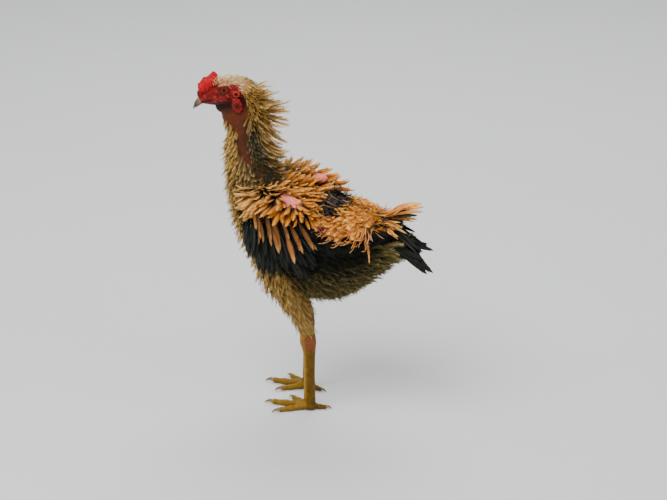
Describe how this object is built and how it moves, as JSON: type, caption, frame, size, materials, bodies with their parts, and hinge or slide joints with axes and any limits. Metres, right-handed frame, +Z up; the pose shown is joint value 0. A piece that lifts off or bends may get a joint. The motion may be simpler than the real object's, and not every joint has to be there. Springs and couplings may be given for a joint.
{
  "type": "frizzle chicken",
  "caption": "Still, life-size standing frizzle chicken with outward-curled feathers, low lumpy comb, bare neck sides and a short dark tail.",
  "frame": {"origin": "bottom centre of the bird's box, on the floor between its feet", "axes": "-Y forwards, the way the body faces; +X to the bird's left; +Z up"},
  "size_m": [0.1658, 0.307, 0.4036],
  "materials": {
    "red_skin": "soft, slightly moist bare skin",
    "orange_feathers": "matte feathers with a faint sheen",
    "buff_feathers": "matte feathers",
    "black_feathers": "matte feathers with a faint sheen",
    "leg_scales": "horny scales, satin",
    "horn": "satin horn",
    "eye": "wet gloss"
  },
  "bodies": {
    "root": {"head": "red_skin", "comb": "red_skin", "earlobe_left": "red_skin", "earlobe_right": "red_skin", "eye_left": "eye", "eye_right": "eye", "beak_upper": "horn", "beak_lower": "horn", "neck": "buff_feathers", "torso": "orange_feathers", "wing_left": "orange_feathers", "wing_right": "orange_feathers", "tail": "black_feathers", "thigh_left": "buff_feathers", "thigh_right": "buff_feathers", "shank_left": "leg_scales", "shank_right": "leg_scales", "foot_left": "leg_scales", "foot_right": "leg_scales", "claw_left_1": "horn", "claw_left_2": "horn", "claw_left_3": "horn", "claw_left_4": "horn", "claw_right_1": "horn", "claw_right_2": "horn", "claw_right_3": "horn", "claw_right_4": "horn"}
  },
  "joints": []
}
